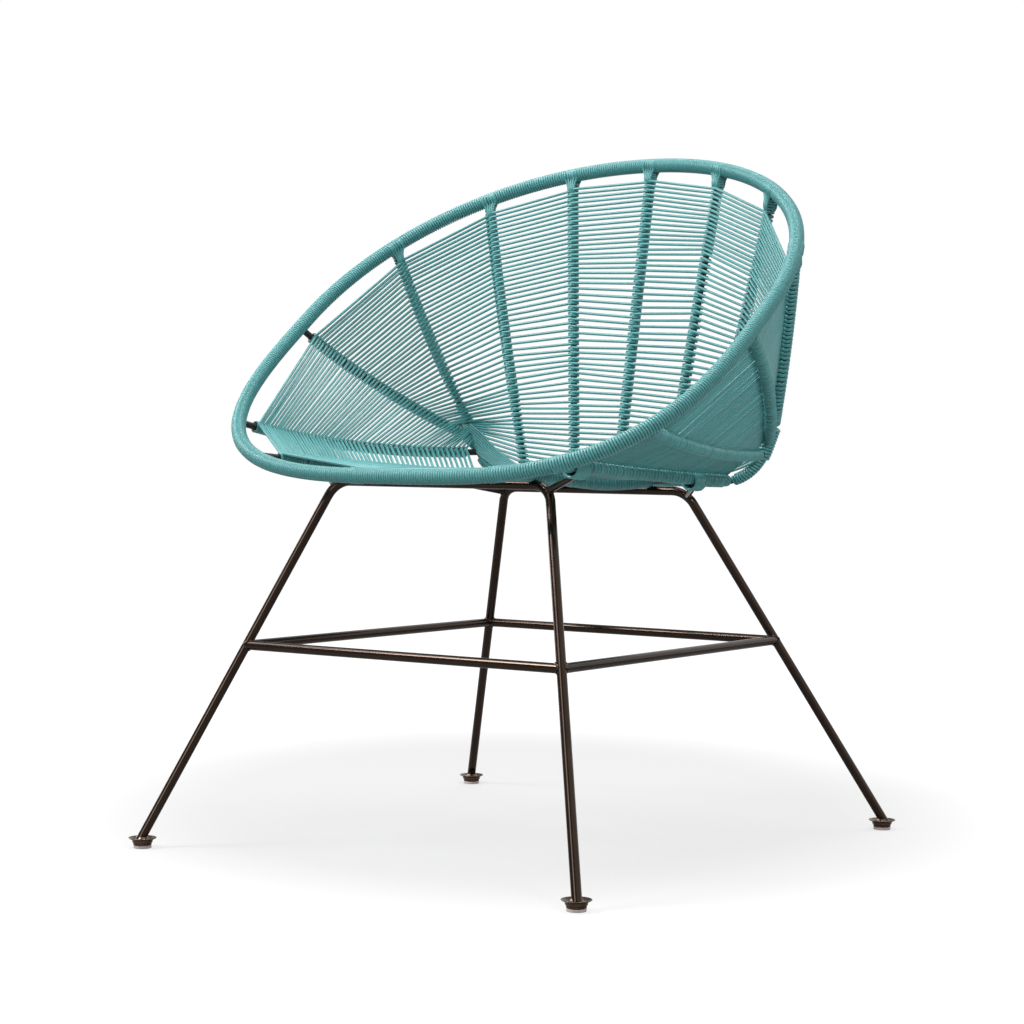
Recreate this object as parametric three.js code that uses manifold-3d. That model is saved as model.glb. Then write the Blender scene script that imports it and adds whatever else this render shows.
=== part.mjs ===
// Cord-woven bucket chair on a bent rod base: a tilted rim hoop, fifteen ribs that run down to a
// bent seat bar, cord rows between the ribs, two inverted U leg frames and four stretchers.
// Millimetres, +Z up, the sitter faces -Y, and the floor is z = 0 under the middle of the chair.

import * as THREE from 'three';
import * as BufferGeometryUtils from 'three/addons/utils/BufferGeometryUtils.js';
import Module from 'manifold-3d';

const wasm = await Module();
wasm.setup();

// Leg frames and stretchers
const legDiameter = 11;
const legBendRadius = 28;
const footHalfDepth = 326;
const frontFootHalfWidth = 300.9;
const backFootHalfWidth = 312.4;
const frontBarHalfWidth = 150.8;
const backBarHalfWidth = 133.7;
const frontBarSetForward = 162.6;
const backBarSetBack = 151.1;
const frontBarHeight = 423;
const backBarDrop = 10.6;
const stretcherDiameter = 11;
const stretcherHeight = 232.4;

// Rim hoop, a closed curve in one sloping plane, whose middle stands over the front bar's height
const rimHalfWidth = 332.2;
const rimHalfLength = 317.4;
const rimMiddleRise = 202.2;
const rimSetBack = 0.7;
const rimTiltDegrees = 37.7;
const backRimPower = 2.1;
const frontRimPower = 3.1;
const hoopDiameter = 12;

// Cord and the thickness of its winding on each rod
const cordDiameter = 3;
const rimWindingThickness = 2.9;
const ribWindingThickness = 2.9;
const barWindingThickness = 3;

// Ribs and the bent bar that gathers their lower ends
const ribDiameter = 8;
const ribBow = 11;
const seatSink = 1.5;
const seatSpace = 1;
const barDiameter = 8;
const barRise = 1;
const barSetBack = 200;
const barHalfWidth = 199;
const barFlare = 27;
const barTopRise = 67;
const barBendRadius = 65;

// Woven rows
const rowCount = 14;
const firstRowDrop = 27;
const lastRowInset = 9;
const bareStartLength = 15;
const bareEndLength = 17;

// Fans of cord that spread from the tops of the ribs on to the rim
const fanReach = 21;
const fanRoot = 4;
const fanRimDiameter = 18.6;
const fanRibDiameter = 14.4;

// Short rods that hold the seat off the leg frames
const standoffDiameter = 8;
const standoffOverrun = 6;

// Feet: a pad under a flanged cup that takes the end of the leg
const padDiameter = 20.6;
const padThickness = 3.1;
const padEdgeBevel = 0.4;
const cupFootDiameter = 20.8;
const cupWaistDiameter = 21.4;
const cupShoulderDiameter = 23.2;
const cupBodyDiameter = 23.8;
const cupFlangeDiameter = 34;
const cupDishDiameter = 21;
const cupWaistHeight = 6.2;
const cupShoulderHeight = 6.9;
const cupBodyHeight = 9;
const cupDishHeight = 9.7;
const cupFlangeHeight = 11.5;
const cupFlangeThickness = 0.8;
const legEndHeight = 8.5;
const legAimHeight = 14;

// Gap kept between pieces that touch, and the distance under which two corners are one
const clearance = 0.3;
const weldDistance = 0.001;

// Where each rib leaves the rim, as shares of a full turn from the back of the rim towards +X
const ribTurnShares = [
  -0.392, -0.352, -0.2607, -0.172, -0.1055, -0.0486, 0.0088, 0.0648,
  0.121, 0.1977, 0.2758, 0.3575, 0.4, 0.433, -0.476,
];
// Where each rib meets the seat bar, as shares of half the bar's length from its middle
const ribBarShares = [
  -0.614, -0.855, -0.925, -1, -0.52, -0.235, 0.015, 0.304,
  0.502, 1, 0.925, 0.86, 0.64, 0.288, -0.19,
];
// How far the middle of each rib bows outwards and downwards, as shares of the largest bow
const ribBowShares = [
  [0.26, 0.24], [0.9, 1], [1.05, 0.45], [0.18, 0.5], [0.36, -0.4], [0, 0], [0, 0], [0, 0],
  [0.36, -0.4], [0.18, 0.5], [1.05, 0.45], [0.9, 1], [0.26, 0.24], [0, 0], [0, 0],
];
const bowPlaceShare = 0.45;
const seatRibs = [13, 14];
const sideSeatRibs = [0, 12];
const bareTopRibs = [0, 1, 2, 10, 11];
const bareEndRibs = [1, 2, 3, 9, 10, 11];
const seatLowShare = 0.6;
const barWindingShare = 0.82;
// Where each standoff meets the side rib above it, as a share of the rib from the rim
const standoffShares = { frontLeft: 0.27, frontRight: 0.078, backLeft: 0.75, backRight: 0.75 };
const rimStepShare = 0.02;

// Faces round each kind of rod, and steps along the curved ones
const hoopSides = 6;
const rimWindingSides = 10;
const ribSides = 6;
const ribWindingSides = 8;
const cordSides = 4;
const legSides = 10;
const standoffSides = 8;
const fanSides = 8;
const bowSteps = 4;
const seatRibSteps = 10;
const legBendSteps = 5;
const barBendSteps = 5;
const footSegments = 16;

const cordMaterial = new THREE.MeshStandardMaterial({ color: 0x55a3a3, roughness: 0.62, metalness: 0 });
const coreMaterial = new THREE.MeshStandardMaterial({ color: 0x2c2624, roughness: 0.5, metalness: 0.6 });
const frameMaterial = new THREE.MeshStandardMaterial({ color: 0x3f3631, roughness: 0.42, metalness: 0.7 });
const padMaterial = new THREE.MeshStandardMaterial({ color: 0xc9b8b4, roughness: 0.8, metalness: 0 });

const hoopRadius = hoopDiameter / 2;
const rimRadius = hoopRadius + rimWindingThickness;
const ribRadius = ribDiameter / 2;
const ribWindingRadius = ribRadius + ribWindingThickness;
const barRadius = barDiameter / 2;
const barWindingRadius = barRadius + barWindingThickness;
const cordRadius = cordDiameter / 2;
const legRadius = legDiameter / 2;
const stretcherRadius = stretcherDiameter / 2;
const standoffRadius = standoffDiameter / 2;
const fanRimRadius = fanRimDiameter / 2;
const fanRibRadius = fanRibDiameter / 2;

// The seat's heights, which all follow the height of the front bar, and the bar's upper width
const backBarHeight = frontBarHeight - backBarDrop;
const seatLowHeight = frontBarHeight - seatSink;
const barHeight = frontBarHeight + barRise;
const barTopHeight = barHeight + barTopRise;
const barTopHalfWidth = barHalfWidth + barFlare;
const rimMiddleHeight = frontBarHeight + rimMiddleRise;

const chair = new THREE.Group();

// A run through given stations, so that every step of a tube lies where it is wanted
class StationPath extends THREE.Curve {
  constructor(stations) {
    super();
    this.stations = stations;
  }

  getPoint(share, target = new THREE.Vector3()) {
    const place = share * (this.stations.length - 1);
    const index = Math.min(Math.floor(place), this.stations.length - 2);
    return target.lerpVectors(this.stations[index], this.stations[index + 1], place - index);
  }

  getUtoTmapping(share) {
    return share;
  }
}

// A closed run, whose first and last stations are the same point
class ClosedStationPath extends StationPath {
  getTangent(share, target = new THREE.Vector3()) {
    const count = this.stations.length - 1;
    const index = Math.round(share * count) % count;
    const before = this.stations[(index + count - 1) % count];
    return target.subVectors(this.stations[index + 1], before).normalize();
  }
}

// The middle of the rim hoop: a rounded oval whose front half is squarer than its back half
function rimPoint(turnShare) {
  const turn = 2 * Math.PI * turnShare;
  const across = Math.sin(turn);
  const along = Math.cos(turn);
  const power = along >= 0 ? backRimPower : frontRimPower;
  const reach = (Math.abs(across) / rimHalfWidth) ** power + (Math.abs(along) / rimHalfLength) ** power;
  const radius = reach ** (-1 / power);
  const tilt = THREE.MathUtils.degToRad(rimTiltDegrees);
  const y = rimSetBack + radius * along * Math.cos(tilt);
  const z = rimMiddleHeight + radius * along * Math.sin(tilt);
  return new THREE.Vector3(radius * across, y, z);
}

// Stations round the rim: one at each rib, and even steps between two ribs
function rimStations() {
  const turns = [...ribTurnShares].sort((a, b) => a - b);
  const stations = [];
  turns.forEach((turn, i) => {
    const next = i + 1 < turns.length ? turns[i + 1] : turns[0] + 1;
    const steps = Math.ceil((next - turn) / rimStepShare);
    for (let k = 0; k < steps; k += 1) {
      stations.push(rimPoint(THREE.MathUtils.lerp(turn, next, k / steps)));
    }
  });
  return [...stations, stations[0]];
}

function roundSection(radius, sides) {
  const corners = [];
  for (let i = 0; i < sides; i += 1) {
    const turn = (2 * Math.PI * i) / sides;
    corners.push(new THREE.Vector2(radius * Math.cos(turn), radius * Math.sin(turn)));
  }
  return new THREE.Shape(corners);
}

function rodAlong(stations, radius, sides) {
  const path = new StationPath(stations);
  const steps = stations.length - 1;
  return new THREE.ExtrudeGeometry(roundSection(radius, sides), { steps, extrudePath: path });
}

// A closed ring keeps only the side walls of its extrusion, whose two ends then meet
function ringAlong(stations, radius, sides) {
  const path = new ClosedStationPath(stations);
  const steps = stations.length - 1;
  const tube = new THREE.ExtrudeGeometry(roundSection(radius, sides), { steps, extrudePath: path });
  const walls = tube.groups[1];
  const corners = tube.getAttribute('position').array.slice(3 * walls.start, 3 * (walls.start + walls.count));
  const ring = new THREE.BufferGeometry();
  ring.setAttribute('position', new THREE.BufferAttribute(corners, 3));
  return ring;
}

function solidOf(geometry) {
  const bare = geometry.clone();
  bare.deleteAttribute('normal');
  bare.deleteAttribute('uv');
  const welded = BufferGeometryUtils.mergeVertices(bare, weldDistance);
  const mesh = new wasm.Mesh({
    numProp: 3,
    vertProperties: new Float32Array(welded.getAttribute('position').array),
    triVerts: new Uint32Array(welded.getIndex().array),
  });
  return new wasm.Manifold(mesh);
}

function geometryOf(solid) {
  const mesh = solid.getMesh();
  const geometry = new THREE.BufferGeometry();
  geometry.setAttribute('position', new THREE.BufferAttribute(new Float32Array(mesh.vertProperties), 3));
  geometry.setIndex(new THREE.BufferAttribute(new Uint32Array(mesh.triVerts), 1));
  geometry.computeVertexNormals();
  return geometry;
}

function addPiece(name, geometry, material) {
  const mesh = new THREE.Mesh(geometry, material);
  mesh.name = name;
  chair.add(mesh);
  return mesh;
}

// The radius to a rod's corners once the clearance is added to each of its faces
function roomRadius(radius, sides) {
  return radius + clearance / Math.cos(Math.PI / sides);
}

function roomFor(stations, radius, sides) {
  return solidOf(rodAlong(stations, roomRadius(radius, sides), sides));
}

// A bore whose flats clear a rod however the rod is turned in it
function boreFor(stations, radius, sides) {
  return solidOf(rodAlong(stations, (radius + clearance) / Math.cos(Math.PI / sides), sides));
}

// The same stations with both ends moved out by the clearance
function lengthened(stations) {
  const outwards = (end, inner) => new THREE.Vector3().subVectors(end, inner).setLength(clearance).add(end);
  const last = stations.length - 1;
  const inner = stations.slice(1, last);
  return [outwards(stations[0], stations[1]), ...inner, outwards(stations[last], stations[last - 1])];
}

// Stations of a bent rod: straight between its corners, with a round bend at each inner corner
function bentRun(corners, bendRadius, bendSteps) {
  const stations = [corners[0]];
  for (let i = 1; i < corners.length - 1; i += 1) {
    const corner = corners[i];
    const back = new THREE.Vector3().subVectors(corners[i - 1], corner).normalize();
    const ahead = new THREE.Vector3().subVectors(corners[i + 1], corner).normalize();
    const halfAngle = back.angleTo(ahead) / 2;
    const middle = new THREE.Vector3().addVectors(back, ahead).normalize();
    const centre = corner.clone().addScaledVector(middle, bendRadius / Math.sin(halfAngle));
    const start = corner.clone().addScaledVector(back, bendRadius / Math.tan(halfAngle));
    const spoke = new THREE.Vector3().subVectors(start, centre);
    const axle = new THREE.Vector3().crossVectors(ahead, back).normalize();
    for (let k = 0; k <= bendSteps; k += 1) {
      const turn = ((Math.PI - 2 * halfAngle) * k) / bendSteps;
      stations.push(spoke.clone().applyAxisAngle(axle, turn).add(centre));
    }
  }
  stations.push(corners[corners.length - 1]);
  return stations;
}

function polyline(stations) {
  const run = new THREE.CurvePath();
  for (let i = 1; i < stations.length; i += 1) {
    run.add(new THREE.LineCurve3(stations[i - 1], stations[i]));
  }
  return run;
}

// The stations of a run that lie between two shares of its length, with its two cut ends
function stretchOf(run, from, to) {
  const lengths = run.getCurveLengths();
  const whole = run.getLength();
  const inner = run.curves.slice(0, -1).map((piece, i) => [lengths[i] / whole, piece.v2]);
  const kept = inner.filter(([share]) => share > from && share < to).map(([, point]) => point);
  return [run.getPoint(from), ...kept, run.getPoint(to)];
}

// How far from another rod's middle a flat rod end stops so that its nearest corner just clears it
function seatDistance(otherRadius, ownRadius, direction, otherDirection) {
  const lean = Math.asin(Math.abs(direction.dot(otherDirection)));
  return (otherRadius + clearance + ownRadius * Math.sin(lean)) / Math.cos(lean);
}

// Leg frames
function legFrame(side, footHalfWidth, barHalfWidthHere, barSetHere, barHeightHere) {
  const foot = new THREE.Vector3(footHalfWidth, side * footHalfDepth, legAimHeight);
  const corner = new THREE.Vector3(barHalfWidthHere, side * barSetHere, barHeightHere);
  const down = new THREE.Vector3().subVectors(foot, corner);
  const endShare = (barHeightHere - legEndHeight) / (barHeightHere - legAimHeight);
  const end = corner.clone().addScaledVector(down, endShare);
  const mirrored = (point) => new THREE.Vector3(-point.x, point.y, point.z);
  const corners = [mirrored(end), mirrored(corner), corner, end];
  const stations = bentRun(corners, legBendRadius, legBendSteps);
  const middleOfBend = stations[stations.length - 2 - Math.floor(legBendSteps / 2)];
  return { foot, corner, end, stations, middleOfBend, mirrored };
}

const frontFrame = legFrame(-1, frontFootHalfWidth, frontBarHalfWidth, frontBarSetForward, frontBarHeight);
const backFrame = legFrame(1, backFootHalfWidth, backBarHalfWidth, backBarSetBack, backBarHeight);
addPiece('front_leg_frame', rodAlong(frontFrame.stations, legRadius, legSides), frameMaterial);
addPiece('back_leg_frame', rodAlong(backFrame.stations, legRadius, legSides), frameMaterial);
const frontFrameRoom = roomFor(frontFrame.stations, legRadius, legSides);
const backFrameRoom = roomFor(backFrame.stations, legRadius, legSides);

// Stretchers, coped to the legs
function legPointAt(frame, side, height) {
  const share = (frame.corner.z - height) / (frame.corner.z - frame.end.z);
  const point = new THREE.Vector3().lerpVectors(frame.corner, frame.end, share);
  return side > 0 ? point : frame.mirrored(point);
}

function addStretcher(name, start, end, rooms) {
  const rod = solidOf(rodAlong([start, end], stretcherRadius, legSides));
  const coped = rooms.reduce((rest, room) => rest.subtract(room), rod);
  addPiece(name, geometryOf(coped), frameMaterial);
  return roomFor([start, end], stretcherRadius, legSides);
}

const legs = {
  frontLeft: legPointAt(frontFrame, -1, stretcherHeight),
  frontRight: legPointAt(frontFrame, 1, stretcherHeight),
  backLeft: legPointAt(backFrame, -1, stretcherHeight),
  backRight: legPointAt(backFrame, 1, stretcherHeight),
};
const frameRooms = [frontFrameRoom, backFrameRoom];
const crossRooms = [
  addStretcher('front_stretcher', legs.frontLeft, legs.frontRight, frameRooms),
  addStretcher('back_stretcher', legs.backLeft, legs.backRight, frameRooms),
];
addStretcher('left_stretcher', legs.frontLeft, legs.backLeft, [...frameRooms, ...crossRooms]);
addStretcher('right_stretcher', legs.frontRight, legs.backRight, [...frameRooms, ...crossRooms]);

// Feet
function turned(profile) {
  const points = profile.map(([radius, height]) => new THREE.Vector2(radius, height));
  return new THREE.LatheGeometry(points, footSegments).rotateX(Math.PI / 2);
}

function addFoot(place, foot, bore) {
  const padRadius = padDiameter / 2;
  const pad = turned([
    [0, 0],
    [padRadius - padEdgeBevel, 0],
    [padRadius, padEdgeBevel],
    [padRadius, padThickness],
    [0, padThickness],
  ]);
  const cup = turned([
    [0, padThickness + clearance],
    [cupFootDiameter / 2, padThickness + clearance],
    [cupWaistDiameter / 2, cupWaistHeight],
    [cupShoulderDiameter / 2, cupShoulderHeight],
    [cupBodyDiameter / 2, cupBodyHeight],
    [cupFlangeDiameter / 2, cupFlangeHeight],
    [cupFlangeDiameter / 2, cupFlangeHeight + cupFlangeThickness],
    [cupDishDiameter / 2, cupDishHeight],
    [0, cupDishHeight],
  ]);
  const seated = solidOf(cup.translate(foot.x, foot.y, 0)).subtract(bore);
  addPiece(`foot_cup_${place}`, geometryOf(seated), frameMaterial);
  addPiece(`foot_pad_${place}`, pad, padMaterial).position.set(foot.x, foot.y, 0);
}

// The rod's bore in a cup runs on past the rod's end by the clearance
function footBore(frame, side) {
  const down = new THREE.Vector3().subVectors(frame.end, frame.corner).normalize();
  const low = frame.end.clone().addScaledVector(down, clearance);
  const high = frame.end.clone().addScaledVector(down, -cupFlangeDiameter);
  const ends = side > 0 ? [low, high] : [frame.mirrored(low), frame.mirrored(high)];
  return boreFor(ends, legRadius, legSides);
}

addFoot('front_left', frontFrame.mirrored(frontFrame.foot), footBore(frontFrame, -1));
addFoot('front_right', frontFrame.foot, footBore(frontFrame, 1));
addFoot('back_left', backFrame.mirrored(backFrame.foot), footBore(backFrame, -1));
addFoot('back_right', backFrame.foot, footBore(backFrame, 1));

// Seat bar
const barCorners = [
  new THREE.Vector3(-barTopHalfWidth, barSetBack, barTopHeight),
  new THREE.Vector3(-barHalfWidth, barSetBack, barHeight),
  new THREE.Vector3(barHalfWidth, barSetBack, barHeight),
  new THREE.Vector3(barTopHalfWidth, barSetBack, barTopHeight),
];
const barStations = bentRun(barCorners, barBendRadius, barBendSteps);
const barRun = polyline(barStations);
addPiece('seat_bar', rodAlong(barStations, barRadius, ribSides), coreMaterial);

// Ribs
function ribCurve(index) {
  const start = rimPoint(ribTurnShares[index]);
  const end = barRun.getPoint((1 + ribBarShares[index]) / 2);
  if (seatRibs.includes(index)) {
    const atDepth = (y, z) => {
      const share = (y - start.y) / (end.y - start.y);
      return new THREE.Vector3(THREE.MathUtils.lerp(start.x, end.x, share), y, z);
    };
    const rest = legRadius + seatSpace + ribRadius;
    const overFront = atDepth(-frontBarSetForward, frontBarHeight + rest);
    const overBack = atDepth(backBarSetBack, backBarHeight + rest);
    const low = atDepth(THREE.MathUtils.lerp(start.y, end.y, seatLowShare), seatLowHeight);
    return new THREE.CatmullRomCurve3([start, overFront, low, overBack, end]);
  }
  const [outwardShare, downwardShare] = ribBowShares[index];
  const bow = new THREE.Vector3(Math.sign(start.x) * outwardShare, 0, -downwardShare);
  const control = new THREE.Vector3().lerpVectors(start, end, bowPlaceShare);
  control.addScaledVector(bow, 2 * ribBow);
  return new THREE.QuadraticBezierCurve3(start, control, end);
}

function ribOf(index) {
  const curve = ribCurve(index);
  const length = curve.getLength();
  const endDirection = curve.getTangentAt(1);
  const alongBar = barRun.getTangent((1 + ribBarShares[index]) / 2);
  const windingStart = bareTopRibs.includes(index) ? bareStartLength : fanReach;
  const windingStop = bareEndRibs.includes(index)
    ? bareEndLength
    : seatDistance(barWindingRadius, ribWindingRadius, endDirection, alongBar);
  const straight = ribBowShares[index].every((share) => share === 0);
  const steps = seatRibs.includes(index) ? seatRibSteps : straight ? 1 : bowSteps;
  const at = (distance) => curve.getPointAt(THREE.MathUtils.clamp(distance / length, 0, 1));
  const windingStations = [];
  for (let k = 0; k <= steps; k += 1) {
    windingStations.push(at(THREE.MathUtils.lerp(windingStart, length - windingStop, k / steps)));
  }
  const stations = [at(hoopRadius / 2), ...windingStations, at(length - barRadius / 2)];
  const firstRow = firstRowDrop;
  const lastRow = length - windingStop - lastRowInset;
  return { curve, length, stations, windingStations, firstRow, lastRow, at };
}

const ribs = ribTurnShares.map((_, index) => ribOf(index));
const fannedRibs = ribs.filter((_, index) => !bareTopRibs.includes(index));
const numbered = (index) => String(index + 1).padStart(2, '0');
const hoopStations = rimStations();
const hoopRoom = solidOf(ringAlong(hoopStations, roomRadius(hoopRadius, hoopSides), hoopSides));
const barRoom = roomFor(lengthened(barStations), barRadius, ribSides);

ribs.forEach((rib, index) => {
  const rod = solidOf(rodAlong(rib.stations, ribRadius, ribSides));
  const coped = rod.subtract(hoopRoom).subtract(barRoom);
  addPiece(`rib_${numbered(index)}`, geometryOf(coped), coreMaterial);
});

// Standoffs, which lie under the two side seat ribs and are coped to the bends of the leg frames
function addStandoff(name, frame, side, rib, share) {
  const start = side > 0 ? frame.middleOfBend.clone() : frame.mirrored(frame.middleOfBend);
  const above = rib.at(share * rib.length);
  const rise = above.z - start.z - ribRadius - standoffRadius - seatSpace;
  const slope = Math.atan2(rise, Math.hypot(above.x - start.x, above.y - start.y));
  const drop = (ribRadius + standoffRadius + seatSpace) / Math.cos(slope);
  const under = new THREE.Vector3(above.x, above.y, above.z - drop);
  const direction = new THREE.Vector3().subVectors(under, start).normalize();
  const stations = [start, under.addScaledVector(direction, standoffOverrun)];
  const rod = solidOf(rodAlong(stations, standoffRadius, standoffSides));
  const coped = rod.subtract(frontFrameRoom).subtract(backFrameRoom);
  addPiece(name, geometryOf(coped), frameMaterial);
  return roomFor(stations, standoffRadius, standoffSides);
}

const [leftSeatRib, rightSeatRib] = sideSeatRibs.map((index) => ribs[index]);
const standoffRooms = [
  addStandoff('seat_standoff_front_left', frontFrame, -1, leftSeatRib, standoffShares.frontLeft),
  addStandoff('seat_standoff_front_right', frontFrame, 1, rightSeatRib, standoffShares.frontRight),
  addStandoff('seat_standoff_back_left', backFrame, -1, leftSeatRib, standoffShares.backLeft),
  addStandoff('seat_standoff_back_right', backFrame, 1, rightSeatRib, standoffShares.backRight),
];

// Rim hoop and its winding, which opens round each rib
addPiece('rim_hoop', ringAlong(hoopStations, hoopRadius, hoopSides), coreMaterial);

// The cords that spread from a rib's top on to the rim, grown by a spare on every side where room is needed
function fanOf(rib, spare) {
  const from = rib.at(fanRoot);
  const direction = new THREE.Vector3().subVectors(rib.at(fanReach), from).normalize();
  const length = fanReach - fanRoot + spare;
  const cone = new THREE.CylinderGeometry(fanRimRadius + spare, fanRibRadius + spare, length, fanSides);
  const turn = new THREE.Quaternion().setFromUnitVectors(new THREE.Vector3(0, -1, 0), direction);
  cone.applyQuaternion(turn);
  const middle = from.addScaledVector(direction, length / 2);
  return solidOf(cone.translate(middle.x, middle.y, middle.z));
}

function rimWinding() {
  let winding = solidOf(ringAlong(hoopStations, rimRadius, rimWindingSides));
  for (const rib of fannedRibs) {
    winding = winding.add(fanOf(rib, 0));
  }
  winding = winding.subtract(hoopRoom);
  for (const rib of ribs) {
    winding = winding.subtract(boreFor([rib.at(0), rib.at(2 * fanReach)], ribRadius, ribSides));
  }
  return winding;
}

addPiece('rim_winding', geometryOf(rimWinding()), cordMaterial);

function barWinding() {
  const stations = stretchOf(barRun, (1 - barWindingShare) / 2, (1 + barWindingShare) / 2);
  let winding = solidOf(rodAlong(stations, barWindingRadius, ribWindingSides));
  winding = winding.subtract(barRoom);
  for (const rib of ribs) {
    const through = [rib.at(rib.length), rib.at(rib.length - 2 * barWindingRadius)];
    winding = winding.subtract(boreFor(through, ribRadius, ribSides));
  }
  return winding;
}

addPiece('seat_bar_winding', geometryOf(barWinding()), cordMaterial);

// Woven panels: the winding on one rib with its rows, which stop just short of the next rib's winding
function cordBetween(rib, nextRib, share) {
  const here = THREE.MathUtils.lerp(rib.firstRow, rib.lastRow, share);
  const there = THREE.MathUtils.lerp(nextRib.firstRow, nextRib.lastRow, share);
  const start = rib.at(here);
  const end = nextRib.at(there);
  const direction = new THREE.Vector3().subVectors(end, start).normalize();
  const ownDirection = rib.curve.getTangentAt(here / rib.length);
  const nextDirection = nextRib.curve.getTangentAt(there / nextRib.length);
  const root = ribRadius + ribWindingThickness / 2;
  const tip = ribWindingRadius + clearance + cordRadius * Math.abs(direction.dot(nextDirection));
  start.addScaledVector(direction.clone().projectOnPlane(ownDirection).normalize(), root);
  end.addScaledVector(direction.clone().projectOnPlane(nextDirection).normalize(), -tip);
  return rodAlong([start, end], cordRadius, cordSides);
}

function wovenPanel(index) {
  const rib = ribs[index];
  const nextRib = ribs[(index + 1) % ribs.length];
  let panel = solidOf(rodAlong(rib.windingStations, ribWindingRadius, ribWindingSides));
  for (let row = 0; row < rowCount; row += 1) {
    panel = panel.add(solidOf(cordBetween(rib, nextRib, row / (rowCount - 1))));
  }
  panel = panel.subtract(roomFor(rib.stations, ribRadius, ribSides));
  if (fannedRibs.includes(rib)) {
    panel = panel.subtract(fanOf(rib, clearance));
  }
  if (sideSeatRibs.includes(index)) {
    panel = standoffRooms.reduce((rest, room) => rest.subtract(room), panel);
  }
  if (seatRibs.includes(index)) {
    panel = panel.subtract(frontFrameRoom).subtract(backFrameRoom);
  }
  return panel;
}

ribs.forEach((_, index) => {
  addPiece(`woven_panel_${numbered(index)}`, geometryOf(wovenPanel(index)), cordMaterial);
});

export default chair;
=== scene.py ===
"""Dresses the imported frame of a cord-woven bucket chair.

The rods, windings and woven rows follow the frame's own middle lines. Sizes here are in metres, +Z is up,
and the sitter faces -Y.
"""

import bisect
import math
import random

import bmesh
import bpy
from mathutils import Matrix, Quaternion, Vector


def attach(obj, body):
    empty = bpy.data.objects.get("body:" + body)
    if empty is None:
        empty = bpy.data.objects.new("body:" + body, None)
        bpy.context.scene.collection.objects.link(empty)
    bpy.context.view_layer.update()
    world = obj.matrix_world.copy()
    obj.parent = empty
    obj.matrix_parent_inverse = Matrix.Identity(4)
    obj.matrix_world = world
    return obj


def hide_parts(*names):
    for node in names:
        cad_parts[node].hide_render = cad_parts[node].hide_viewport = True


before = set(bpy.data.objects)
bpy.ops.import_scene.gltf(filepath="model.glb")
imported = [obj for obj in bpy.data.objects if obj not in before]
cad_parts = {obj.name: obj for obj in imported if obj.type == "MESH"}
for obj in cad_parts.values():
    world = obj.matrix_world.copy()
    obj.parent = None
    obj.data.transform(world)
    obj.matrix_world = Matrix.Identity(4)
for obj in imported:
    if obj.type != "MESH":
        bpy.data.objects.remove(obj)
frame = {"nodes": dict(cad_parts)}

bl_info = {
    "name": "Woven bucket chair",
    "version": (1, 0, 0),
    "blender": (4, 5, 0),
    "location": "3D View > Sidebar > Chair",
    "description": "Builds a bucket chair's wound rim, ribs, woven rows, base and feet on its packed frame",
    "category": "Object",
}

MM = 0.001

# Rim hoop: a closed curve in one sloping plane
RIM_HALF_WIDTH = 332.2 * MM
RIM_HALF_LENGTH = 317.4 * MM
RIM_MIDDLE_HEIGHT = 625.2 * MM
RIM_SET_BACK = 0.7 * MM
RIM_TILT = math.radians(37.7)
BACK_RIM_POWER = 2.1
FRONT_RIM_POWER = 3.1
HOOP_RADIUS = 6 * MM
HOOP_STEPS = 200
RIM_STEPS = 2400
HEADING_SHARE = 0.002

# Ribs, numbered from the front left corner round the back: where each starts on the rim, where it ends on the
# seat bar, as a share of half its length, and its bow outwards and downwards
RIB_TURNS = (-0.392, -0.352, -0.2607, -0.172, -0.1055, -0.0486, 0.0088, 0.0648,
             0.121, 0.1977, 0.2758, 0.3575, 0.4, 0.433, -0.476)
RIB_BAR_SHARES = (-0.614, -0.855, -0.925, -1, -0.52, -0.235, 0.015, 0.304,
                  0.502, 1, 0.925, 0.86, 0.64, 0.288, -0.19)
RIB_BOWS = ((0.26, 0.24), (0.9, 1), (1.05, 0.45), (0.18, 0.5), (0.36, -0.4), (0, 0), (0, 0), (0, 0),
            (0.36, -0.4), (0.18, 0.5), (1.05, 0.45), (0.9, 1), (0.26, 0.24), (0, 0), (0, 0))
RIB_BOW = 11 * MM
BOW_PLACE = 0.45

# The ribs under the seat, the short ones, those with a bare or a plainly wound top, and those with loose rows
SEAT_RIBS = (13, 14)
TIP_RIBS = (3, 9)
BARE_TOP_RIBS = (0, 1, 2)
COILED_TOP_RIBS = (10, 11)
LOOSE_RIBS = (10, 11, 12)

# The rib rods. Those under the seat rest above the leg frames and sag to a low point between them
RIB_RADIUS = 4 * MM
SEAT_LOW_HEIGHT = 421.5 * MM
SEAT_LOW_SHARE = 0.6
SEAT_SPACE = 1 * MM
SEAT_RIB_STEPS = 24
HEADING_REACH = 2 * MM
BOW_STEPS = 60
RIB_ROD_STEPS = 48

# Seat bar: a bent rod that gathers the lower ends of the ribs
BAR_RADIUS = 4 * MM
BAR_CORNERS = ((-226, 200, 491), (-199, 200, 424), (199, 200, 424), (226, 200, 491))
BAR_BEND_RADIUS = 65 * MM
BAR_BEND_STEPS = 14

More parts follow.
